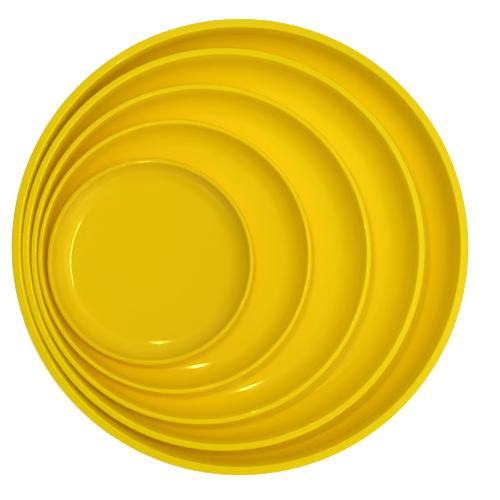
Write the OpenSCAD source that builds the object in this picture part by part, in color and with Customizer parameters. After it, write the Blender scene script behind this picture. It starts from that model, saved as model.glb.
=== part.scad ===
// Nest of five round plastic pans, each one a single moulding.
// A pan is a closed solid of revolution: a flat floor on a low foot ring, a deep fillet,
// a wall that leans outwards and a rounded lip that stands out from the wall.
// Each pan's foot rests on the floor of the pan around it, and the pan is pushed to one
// side, so that the lips lie close together there and the floors show on the other side.
// The origin is the centre of the largest pan's foot, with +Z up.

/* [Largest pan] */
// Diameter over the lip
largest_d = 400; // [390:1:430]
// Height from foot to lip
largest_h = 36.4; // [35.8:0.2:37.2]
// Width of the lip from above
largest_lip = 7.4; // [4.5:0.1:9]

/* [Large pan] */
// Diameter over the lip
large_d = 353; // [348:1:358]
// Height from foot to lip
large_h = 32.6; // [32:0.2:33.4]
// Width of the lip from above
large_lip = 5.8; // [4:0.1:7]

/* [Middle pan] */
// Diameter over the lip
middle_d = 298; // [294:1:303]
// Height from foot to lip
middle_h = 28.8; // [28:0.2:29.8]
// Width of the lip from above
middle_lip = 4.3; // [3.6:0.1:6]

/* [Small pan] */
// Diameter over the lip
small_d = 240; // [236:1:245]
// Height from foot to lip
small_h = 25; // [24:0.2:26]
// Width of the lip from above
small_lip = 3.5; // [3.4:0.1:5]

/* [Smallest pan] */
// Diameter over the lip
smallest_d = 181; // [176:1:186]
// Height from foot to lip
smallest_h = 21.2; // [20.6:0.2:23]
// Width of the lip from above
smallest_lip = 3.6; // [3.4:0.1:5]

/* [Moulding] */
// Thickness of wall and floor
wall = 2.2; // [1.8:0.1:2.3]
// Lean of the wall from upright, in degrees
draft = 17; // [16:0.5:20]
// Slope of the lip's top, down towards its outer edge, in degrees
lip_fall = 18; // [10:0.5:20]
// Inside fillet between wall and floor, before the share that grows with the diameter
fillet_base = 9; // [8:0.5:9.5]
// Share of the pan's diameter that is added to the inside fillet
fillet_share = 0.04; // [0.036:0.001:0.042]
// Height of the foot ring under the floor
foot_h = 1; // [0.6:0.1:1.4]
// Width of the foot ring
foot_w = 5; // [3:0.5:8]

/* [Nesting] */
// Space between two neighbouring lips on the side where they lie close together
lip_gap = 1.6; // [1.4:0.1:2.5]
// The same space beside the smallest pan, which is pushed less far
last_gap = 4.2; // [1.4:0.1:5]
// Direction in which the large pan is pushed, in degrees from +X towards +Y
large_bearing = 188; // [0:0.5:359.5]
// Direction in which the middle pan is pushed
middle_bearing = 192.5; // [0:0.5:359.5]
// Direction in which the small pan is pushed
small_bearing = 185; // [0:0.5:359.5]
// Direction in which the smallest pan is pushed
smallest_bearing = 192; // [0:0.5:359.5]

/* [Hidden] */

pan_colour = [0.93, 0.76, 0.05];
round_facets = 96;
fillet_steps = 16;
edge_steps = 8;

diameters = [largest_d, large_d, middle_d, small_d, smallest_d];
heights = [largest_h, large_h, middle_h, small_h, smallest_h];
lips = [largest_lip, large_lip, middle_lip, small_lip, smallest_lip];
gaps = [0, lip_gap, lip_gap, lip_gap, last_gap];
bearings = [0, large_bearing, middle_bearing, small_bearing, smallest_bearing];

// Top of a pan's floor above the surface that its foot stands on
floor_top = foot_h + wall;

// Rounding where the inside of the wall turns over into the lip
inner_edge_r = 1.2;
// Fillet under the lip, where it meets the outside of the wall
under_lip_r = 0.5;
// Distance from the floor's edge in to the foot ring, and the ring's sloping sides
foot_inset = 2.5;
foot_slope = 0.4;
// Dish under the floor's centre, and the trimmed gate stub that stands in it
gate_dish_r = 7;
gate_dish_h = 0.5;
gate_stub_r = 1.6;
gate_stub_h = 0.3;

// Radius of the inside of the wall, run out to the height of the lip
function inner_r(k) = diameters[k] / 2 - lips[k];

// Inside fillet between wall and floor
function fillet_r(k) = fillet_base + fillet_share * diameters[k];

// Radius of the flat floor, which is also where the fillets are centred
function floor_r(k) =
    let (straight_h = heights[k] - floor_top - fillet_r(k))
    inner_r(k) - (fillet_r(k) + straight_h * sin(draft)) / cos(draft);

// Radius of the lip's rounded outer edge: half the lip's thickness
function lip_edge_r(k) = (wall + lips[k] / 6) / 2;

// Centre of the rounding at the lip's inner edge
function lip_inner_centre(k) =
    [inner_r(k) - inner_edge_r * tan(draft) + inner_edge_r / cos(draft), heights[k] - inner_edge_r];

// Centre of the rounding at the lip's outer edge, on the same sloping top
function lip_outer_centre(k) =
    let (inner = lip_inner_centre(k))
    let (x = diameters[k] / 2 - lip_edge_r(k))
    let (drop = (x - inner.x) * tan(lip_fall) + (lip_edge_r(k) - inner_edge_r) / cos(lip_fall))
    [x, inner.y - drop];

// Centre of the fillet under the lip, against the outside of the wall
function under_lip_centre(k) =
    let (z = lip_outer_centre(k).y - lip_edge_r(k) - under_lip_r)
    [inner_r(k) - (heights[k] - z) * tan(draft) + (wall + under_lip_r) / cos(draft), z];

// Points along an arc, from one angle to another
function arc(centre, r, start, end, steps) =
    [for (i = [0 : steps]) let (a = start + (end - start) * i / steps) centre + r * [cos(a), sin(a)]];

// Underside of the floor, from the axis out to the edge: gate stub, dish and foot ring
function underside(k) =
    let (foot_out = floor_r(k) - foot_inset)
    let (foot_in = foot_out - foot_w)
    let (dish = foot_h + gate_dish_h)
    [
        [0, dish - gate_stub_h],
        [gate_stub_r, dish - gate_stub_h],
        [gate_stub_r, dish],
        [gate_dish_r, dish],
        [gate_dish_r + gate_dish_h, foot_h],
        [foot_in, foot_h],
        [foot_in + foot_slope, 0],
        [foot_out - foot_slope, 0],
        [foot_out, foot_h]
    ];

// Half section of a pan: along the underside, up the outside, over the lip, down the inside
function half_section(k) =
    let (bend = [floor_r(k), floor_top + fillet_r(k)])
    concat(
        underside(k),
        arc(bend, fillet_r(k) + wall, -90, -draft, fillet_steps),
        arc(under_lip_centre(k), under_lip_r, 180 - draft, 90, edge_steps / 2),
        arc(lip_outer_centre(k), lip_edge_r(k), -90, 90 - lip_fall, edge_steps * 2),
        arc(lip_inner_centre(k), inner_edge_r, 90 - lip_fall, 180 - draft, edge_steps),
        arc(bend, fillet_r(k), -draft, -90, fillet_steps),
        [[0, floor_top]]
    );

// How far a pan is pushed off the centre of the pan around it
function push(k) = inner_r(k - 1) - diameters[k] / 2 - gaps[k];

// Where a pan's foot stands: on the floor of the pan around it, pushed to one side
function seat(k) = k == 0
    ? [0, 0, 0]
    : seat(k - 1) + [push(k) * cos(bearings[k]), push(k) * sin(bearings[k]), floor_top];

module pan(k) {
    color(pan_colour)
        translate(seat(k))
            rotate_extrude($fn = round_facets)
                polygon(half_section(k));
}

module largest_pan() {
    pan(0);
}

module large_pan() {
    pan(1);
}

module middle_pan() {
    pan(2);
}

module small_pan() {
    pan(3);
}

module smallest_pan() {
    pan(4);
}

largest_pan();
large_pan();
middle_pan();
small_pan();
smallest_pan();
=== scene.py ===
import math

import bpy
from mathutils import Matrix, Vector


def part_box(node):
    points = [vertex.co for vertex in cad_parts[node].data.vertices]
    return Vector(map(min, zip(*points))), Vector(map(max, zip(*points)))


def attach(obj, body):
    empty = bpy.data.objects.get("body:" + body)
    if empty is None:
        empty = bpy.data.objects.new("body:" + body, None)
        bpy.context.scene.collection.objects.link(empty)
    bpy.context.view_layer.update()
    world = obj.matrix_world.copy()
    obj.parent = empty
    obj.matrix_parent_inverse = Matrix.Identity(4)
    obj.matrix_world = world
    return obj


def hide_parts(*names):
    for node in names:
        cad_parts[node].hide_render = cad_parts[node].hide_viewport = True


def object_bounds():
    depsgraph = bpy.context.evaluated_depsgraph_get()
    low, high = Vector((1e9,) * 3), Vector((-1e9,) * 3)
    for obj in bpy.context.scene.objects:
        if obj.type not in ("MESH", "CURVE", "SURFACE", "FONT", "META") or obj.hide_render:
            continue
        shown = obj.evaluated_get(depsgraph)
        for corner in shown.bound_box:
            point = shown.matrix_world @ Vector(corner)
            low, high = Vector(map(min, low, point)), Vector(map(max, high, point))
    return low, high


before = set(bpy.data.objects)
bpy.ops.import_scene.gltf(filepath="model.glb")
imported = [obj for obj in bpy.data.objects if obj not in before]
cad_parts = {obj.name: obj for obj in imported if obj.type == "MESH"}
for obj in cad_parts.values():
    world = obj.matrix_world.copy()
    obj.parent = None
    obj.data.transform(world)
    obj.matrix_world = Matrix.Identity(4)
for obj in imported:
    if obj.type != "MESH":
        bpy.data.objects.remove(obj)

cad_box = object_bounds()

MM = 0.001

# ---------------------------------------------------------------------------
# Shape of the mouldings, in millimetres, as in the CAD
# ---------------------------------------------------------------------------

# Outermost first; each pan's neighbours in this list are the pans it stands in and holds
PANS = ["largest_pan", "large_pan", "middle_pan", "small_pan", "smallest_pan"]
LIP_WIDTHS = [7.4, 5.8, 4.3, 3.5, 3.6]

WALL = 2.2
DRAFT = math.radians(17)
LIP_FALL = math.radians(18)
FILLET_BASE = 9
FILLET_SHARE = 0.04
FOOT_H = 1
FOOT_W = 5
FLOOR_TOP = FOOT_H + WALL
INNER_EDGE_R = 1.2
UNDER_LIP_R = 0.5
FOOT_INSET = 2.5
FOOT_SLOPE = 0.4
GATE_DISH_R = 7
GATE_DISH_H = 0.5
GATE_STUB_R = 1.6
GATE_STUB_H = 0.3

# What a real moulding adds: the seam of the two mould halves round the lip, rounded
# corners on the foot ring, a floor that has sunk a little, and a lip not quite round
SEAM_HEIGHT = 0.07
SEAM_HALF_ANGLE = math.radians(7)
CORNER_R = 0.25
FLOOR_SINK = 0.18
OUT_OF_ROUND = 0.10
# Share of the radius where the floor has points of its own, so that it can sink smoothly
FLOOR_RINGS = (0.995, 0.98, 0.94, 0.86, 0.7, 0.5, 0.3, 0.1)

# Steps of the lathe
SEGMENTS = 384
FILLET_STEPS = 30
OUTSIDE_STEPS = 18
LIP_STEPS = 18
UNDER_LIP_STEPS = 5
CORNER_STEPS = 3


class Pan:
    """Sizes of one pan in millimetres, its place taken from its CAD node's box."""

    def __init__(self, index, name):
        low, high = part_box(name)
        self.index = index
        self.name = name
        self.centre = (low + high) / 2
        self.foot_z = low.z
        self.radius = (high.x - low.x) / 2 / MM
        self.height = (high.z - low.z) / MM
        lip = LIP_WIDTHS[index]
        self.inner_r = self.radius - lip
        self.fillet = FILLET_BASE + FILLET_SHARE * 2 * self.radius
        straight_h = self.height - FLOOR_TOP - self.fillet
        run = (self.fillet + straight_h * math.sin(DRAFT)) / math.cos(DRAFT)
        self.floor_r = self.inner_r - run
        self.lip_edge_r = (WALL + lip / 6) / 2
        self.foot_out = self.floor_r - FOOT_INSET
        self.foot_in = self.foot_out - FOOT_W


def arc(x, z, r, start, end, steps):
    """Points round a centre in the half section, from one angle to another."""
    return [
        (x + r * math.cos(a), z + r * math.sin(a))
        for a in (start + (end - start) * i / steps for i in range(steps + 1))
    ]


def rounded(points, r):
    """The same open line with each inner corner replaced by a short curve."""
    out = [points[0]]
    for before, here, after in zip(points, points[1:], points[2:]):
        p0, p1, p2 = Vector(before), Vector(here), Vector(after)
        # each side gives less than half its length to the curve at one of its ends
        room = min((p0 - p1).length, (p2 - p1).length) * 0.45
        reach = min(r, room)
        start = p1 + (p0 - p1).normalized() * reach
        end = p1 + (p2 - p1).normalized() * reach
        for i in range(CORNER_STEPS + 1):
            t = i / CORNER_STEPS
            point = start * (1 - t) ** 2 + p1 * 2 * t * (1 - t) + end * t ** 2
            out.append((point.x, point.y))
    out.append(points[-1])
    return out


def half_section(pan):
    """Radius and height of the closed outline: underside, outside, lip, inside, floor."""
    right = math.pi / 2
    dish = FOOT_H + GATE_DISH_H
    under = rounded(
        [
            (GATE_STUB_R * 0.3, dish - GATE_STUB_H),
            (GATE_STUB_R, dish - GATE_STUB_H),
            (GATE_STUB_R, dish),
            (GATE_DISH_R, dish),
            (GATE_DISH_R + GATE_DISH_H, FOOT_H),
            (pan.foot_in, FOOT_H),
            (pan.foot_in + FOOT_SLOPE, 0),
            (pan.foot_out - FOOT_SLOPE, 0),
            (pan.foot_out, FOOT_H),
            (pan.floor_r - 0.6, FOOT_H),
        ],
        CORNER_R,
    )
    bend_z = FLOOR_TOP + pan.fillet
    outside = arc(pan.floor_r, bend_z, pan.fillet + WALL, -right, -DRAFT, OUTSIDE_STEPS)

    edge = pan.lip_edge_r
    inner_x = pan.inner_r - INNER_EDGE_R * math.tan(DRAFT) + INNER_EDGE_R / math.cos(DRAFT)
    inner_z = pan.height - INNER_EDGE_R
    outer_x = pan.radius - edge
    drop = (outer_x - inner_x) * math.tan(LIP_FALL) + (edge - INNER_EDGE_R) / math.cos(LIP_FALL)
    outer_z = inner_z - drop
    under_z = outer_z - edge - UNDER_LIP_R
    under_x = (
        pan.inner_r
        - (pan.height - under_z) * math.tan(DRAFT)
        + (WALL + UNDER_LIP_R) / math.cos(DRAFT)
    )
    under_lip = arc(under_x, under_z, UNDER_LIP_R, math.pi - DRAFT, right, UNDER_LIP_STEPS)
    # the seam lies at the widest place of the lip's edge
    low_part = arc(outer_x, outer_z, edge, -right, -SEAM_HALF_ANGLE, LIP_STEPS // 2)
    seam = [(outer_x + edge + SEAM_HEIGHT, outer_z)]
    high_part = arc(outer_x, outer_z, edge, SEAM_HALF_ANGLE, right - LIP_FALL, LIP_STEPS)
    lip_inside = arc(
        inner_x, inner_z, INNER_EDGE_R, right - LIP_FALL, math.pi - DRAFT, LIP_STEPS // 2
    )
    inside = arc(pan.floor_r, bend_z, pan.fillet, -DRAFT, -right, FILLET_STEPS)
    floor = [(pan.floor_r * share, FLOOR_TOP) for share in FLOOR_RINGS]
    return under + outside + under_lip + low_part + seam + high_part + lip_inside + inside + floor


def warped(pan, r, z, angle):
    """Where a point of the true section lies on the real, slightly uneven moulding."""
    centred = max(0.0, 1 - (r / pan.floor_r) ** 2)
    z -= FLOOR_SINK * centred * centred
    rise = max(0.0, z / pan.height)
    turn = 1.3 * pan.index
    r += OUT_OF_ROUND * rise * rise * (
        math.cos(2 * angle + turn) * 0.7 + math.cos(3 * angle - 2.1 * turn) * 0.3 - 1
    )
    return r, z


def lathe(pan):
    """A closed mesh of the pan in place: the section turned round, with a fan at each pole."""
    section = half_section(pan)
    rows = len(section)
    cx, cy = pan.centre.x, pan.centre.y
    verts = []
    for k in range(SEGMENTS):
        angle = 2 * math.pi * k / SEGMENTS
        for r, z in section:
            wr, wz = warped(pan, r, z, angle)
            verts.append(
                (cx + wr * MM * math.cos(angle), cy + wr * MM * math.sin(angle), pan.foot_z + wz * MM)
            )
    poles = []
    for r, z in ((0, section[0][1]), (0, section[-1][1])):
        _, wz = warped(pan, r, z, 0)
        poles.append(len(verts))
        verts.append((cx, cy, pan.foot_z + wz * MM))
    faces = []
    for k in range(SEGMENTS):
        here, there = k * rows, (k + 1) % SEGMENTS * rows
        for j in range(rows - 1):
            faces.append((here + j, there + j, there + j + 1, here + j + 1))
        faces.append((poles[0], there, here))
        faces.append((poles[1], here + rows - 1, there + rows - 1))
    mesh = bpy.data.meshes.new(pan.name + "_moulding")
    mesh.from_pydata(verts, [], faces)
    mesh.polygons.foreach_set("use_smooth", [True] * len(mesh.polygons))
    mesh.update()
    piece = bpy.data.objects.new(pan.name + "_moulding", mesh)
    bpy.context.scene.collection.objects.link(piece)
    return piece


# ---------------------------------------------------------------------------
# Glossy yellow plastic
# ---------------------------------------------------------------------------

# Red and green of each pan's base colour, outermost first, each a slightly different yellow, the
# smallest pan's the darkest
YELLOWS = [(0.935, 0.69), (0.94, 0.69), (0.945, 0.675), (0.94, 0.645), (0.87, 0.58)]


class Tree:
    """Short names for making and joining shader nodes."""

    def __init__(self, owner, shader="Principled BSDF"):
        owner.use_nodes = True
        self.nodes = owner.node_tree.nodes
        self.links = owner.node_tree.links
        self.shader = self.nodes[shader]

    def node(self, kind, inputs=(), **settings):
        made = self.nodes.new(kind)
        for key, value in settings.items():
            setattr(made, key, value)
        for key, value in dict(inputs).items():
            if isinstance(value, bpy.types.NodeSocket):
                self.links.new(value, made.inputs[key])
            else:
                made.inputs[key].default_value = value
        return made

    def noise(self, place, scale, detail=2.0, roughness=0.5):
        made = self.node(
            "ShaderNodeTexNoise",
            {"Vector": place, "Scale": scale, "Detail": detail, "Roughness": roughness},
        )
        return made.outputs["Fac"]

    def span(self, value, low, high, start=0.0, end=1.0):
        made = self.node(
            "ShaderNodeMapRange",
            {"Value": value, "From Min": start, "From Max": end, "To Min": low, "To Max": high},
        )
        return made.outputs["Result"]

    def maths(self, operation, a, b):
        return self.node("ShaderNodeMath", {0: a, 1: b}, operation=operation).outputs[0]


def plastic(pan):
    """Yellow moulded plastic: slow drift of colour, faint orange peel, hairlines and scuffs."""
    material = bpy.data.materials.new(pan.name + "_plastic")
    tree = Tree(material)
    coords = tree.node("ShaderNodeTexCoord").outputs["Object"]
    place = tree.node(
        "ShaderNodeVectorMath", {0: coords, 1: tuple(pan.centre)}, operation="SUBTRACT"
    ).outputs["Vector"]

    # slow drift and flow marks of the pigment, with a fine speckle
    drift = tree.noise(place, 7.0 + pan.index, detail=3.0)
    speckle = tree.noise(place, 1400.0, detail=1.0)
    base = Vector((*YELLOWS[pan.index], 0.0))
    deep, pale = base * 0.97, Vector((base.x * 1.02, base.y * 1.035, base.z + 0.002))
    colour = tree.node(
        "ShaderNodeMix", {"Factor": drift, "A": (*deep, 1), "B": (*pale, 1)}, data_type="RGBA"
    )
    grain = tree.node(
        "ShaderNodeHueSaturation",
        {"Color": colour.outputs["Result"], "Value": tree.span(speckle, 0.985, 1.015)},
    )
    tree.links.new(grain.outputs["Color"], tree.shader.inputs["Base Color"])

    # hairline scratches: noise drawn out along two directions
    hairs = None
    for turn in (0.5, 2.2):
        drawn = tree.node(
            "ShaderNodeMapping",
            {"Vector": place, "Rotation": (0, 0, turn + pan.index), "Scale": (14.0, 1100.0, 200.0)},
        ).outputs["Vector"]
        thin = tree.span(tree.noise(drawn, 1.0, detail=1.0), 0.0, 1.0, 0.68, 0.76)
        hairs = thin if hairs is None else tree.maths("MAXIMUM", hairs, thin)

    handled = tree.span(tree.noise(place, 26.0, detail=4.0, roughness=0.6), 0.03, 0.05, 0.3, 0.7)
    rough = tree.node("ShaderNodeMath", {0: hairs, 1: 0.07, 2: handled}, operation="MULTIPLY_ADD")
    tree.links.new(rough.outputs[0], tree.shader.inputs["Roughness"])

    # orange peel of the moulded surface under the hairlines
    peel = tree.noise(place, 300.0, detail=1.0)
    bump = tree.node("ShaderNodeBump", {"Height": peel, "Strength": 0.10, "Distance": 0.00003})
    tree.links.new(bump.outputs["Normal"], tree.shader.inputs["Normal"])

    shader = tree.shader.inputs
    shader["IOR"].default_value = 1.49
    shader["Specular Tint"].default_value = (1.0, 0.93, 0.09, 1)
    shader["Subsurface Weight"].default_value = 0.15
    shader["Subsurface Radius"].default_value = (1.0, 0.5, 0.08)
    shader["Subsurface Scale"].default_value = 0.003
    return material


# ---------------------------------------------------------------------------
# The pieces
# ---------------------------------------------------------------------------

pans = [Pan(i, name) for i, name in enumerate(PANS)]
for pan in pans:
    piece = lathe(pan)
    piece.data.materials.append(plastic(pan))
    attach(piece, pan.name)
    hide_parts(pan.name)

# ---------------------------------------------------------------------------
# Floor, light and camera
# ---------------------------------------------------------------------------

scene = bpy.context.scene

# The floor lies this far under the lowest point, so that the two never share a plane
FLOOR_GAP = 0.0002


def white_surface(name, verts, faces, glow):
    """A plain pale part of the studio, which glows a little so that it renders white."""
    mesh = bpy.data.meshes.new(name)
    mesh.from_pydata(verts, [], faces)
    surface = bpy.data.objects.new(name, mesh)
    surface.location.z = cad_box[0].z - FLOOR_GAP
    scene.collection.objects.link(surface)
    material = bpy.data.materials.new("pale_" + name)
    tree = Tree(material)
    coords = tree.node("ShaderNodeTexCoord").outputs["Object"]
    tone = tree.span(tree.noise(coords, 3.0), 0.88, 0.90)
    colour = tree.node("ShaderNodeCombineColor", {"Red": tone, "Green": tone, "Blue": tone})
    tree.links.new(colour.outputs["Color"], tree.shader.inputs["Base Color"])
    tree.shader.inputs["Roughness"].default_value = 0.7
    tree.shader.inputs["Emission Color"].default_value = (1, 1, 1, 1)
    tree.shader.inputs["Emission Strength"].default_value = glow
    mesh.materials.append(material)
    return surface


def plain_floor(half):
    corners = [(-half, -half, 0), (half, -half, 0), (half, half, 0), (-half, half, 0)]
    floor = white_surface("floor", corners, [(0, 1, 2, 3)], 0.6)
    # its light on the pans is the weaker glow from straight below in GLOWS
    floor.visible_diffuse = floor.visible_shadow = False


def backdrop(radius, height, sides=64):
    """A round screen behind everything, which only the camera sees: no light is kept out."""
    verts = []
    for k in range(sides):
        angle = 2 * math.pi * k / sides
        x, y = radius * math.cos(angle), radius * math.sin(angle)
        verts += [(x, y, -0.1), (x, y, height)]
    faces = []
    for k in range(sides):
        here, there = 2 * k, 2 * ((k + 1) % sides)
        faces.append((here, here + 1, there + 1, there))
    screen = white_surface("backdrop", verts, faces, 1.0)
    screen.visible_diffuse = screen.visible_glossy = False
    screen.visible_transmission = screen.visible_shadow = False


def soft_light(name, place, size, power):
    """A rectangular lamp that faces the nest. Its first size runs across the line to the nest."""
    lamp = bpy.data.lights.new(name, "AREA")
    lamp.shape = "RECTANGLE"
    lamp.size, lamp.size_y = size
    lamp.energy = power
    holder = bpy.data.objects.new(name, lamp)
    holder.location = place
    holder.rotation_euler = (-Vector(place)).to_track_quat("-Z", "Y").to_euler()
    scene.collection.objects.link(holder)


def towards(bearing, elevation):
    """A unit vector, from its bearing (from +X towards +Y) and elevation in degrees."""
    turn, rise = math.radians(bearing), math.radians(elevation)
    return (math.cos(rise) * math.cos(turn), math.cos(rise) * math.sin(turn), math.sin(rise))


def soft_sky(glows):
    """White light in broad soft glows, each a bearing, elevation, tightness and strength."""
    world = bpy.data.worlds.new("studio")
    scene.world = world
    tree = Tree(world, "Background")
    coords = tree.node("ShaderNodeTexCoord").outputs["Generated"]
    total = None
    for bearing, elevation, tightness, strength in glows:
        facing = {0: coords, 1: towards(bearing, elevation)}
        dot = tree.node("ShaderNodeVectorMath", facing, operation="DOT_PRODUCT").outputs["Value"]
        glow = tree.maths("POWER", tree.maths("MAXIMUM", dot, 0.0), tightness)
        glow = tree.maths("MULTIPLY", glow, strength * (tightness + 1) / 2)
        total = glow if total is None else tree.maths("ADD", total, glow)
    tree.shader.inputs["Color"].default_value = (1, 1, 1, 1)
    tree.links.new(total, tree.shader.inputs["Strength"])


WEAK, MEDIUM, STRONG = 0.07, 0.10, 0.17

# Low glows round the horizon, two half-way up, two high ones, and the floor's light from below
GLOWS = [
    (0, 12, 16, WEAK),
    (90, 12, 16, WEAK),
    (135, 12, 16, MEDIUM),
    (225, 12, 16, STRONG),
    (270, 12, 16, WEAK),
    (315, 12, 16, STRONG),
    (90, 38, 10, MEDIUM),
    (315, 38, 10, MEDIUM),
    (0, 62, 14, 0.30),
    (120, 62, 14, MEDIUM),
    (0, -90, 1, 0.75),
]

plain_floor(15.0)
backdrop(14.0, 5.0)
soft_sky(GLOWS)
soft_light("key", (0.845, -0.16, 6.0), (0.96, 0.2), 50)
soft_light("lamp", (-0.153, 0.263, 1.5), (0.022, 0.05), 3.8)

# The camera looks straight down on the nest from far off, a little to the right of its middle
CAMERA_HEIGHT = 2.5
# Width of the view, and how far the camera stands to the right and to the front of the
# nest's middle, as shares of the largest pan's diameter
VIEW_WIDTH = 1.0925
LOOK_OFF = (0.0218, -0.0065)
top = cad_box[1].z
width = cad_box[1].x - cad_box[0].x
middle = (cad_box[0] + cad_box[1]) / 2

camera = bpy.data.cameras.new("camera")
camera.sensor_width = 36
camera.lens = camera.sensor_width * CAMERA_HEIGHT / (VIEW_WIDTH * width)
holder = bpy.data.objects.new("camera", camera)
holder.location.x = middle.x + LOOK_OFF[0] * width
holder.location.y = middle.y + LOOK_OFF[1] * width
holder.location.z = top + CAMERA_HEIGHT
scene.collection.objects.link(holder)
bpy.context.scene.camera = holder

scene.view_settings.view_transform = "Standard"
scene.cycles.use_denoising = True
scene.cycles.max_bounces = 12
scene.cycles.diffuse_bounces = 8
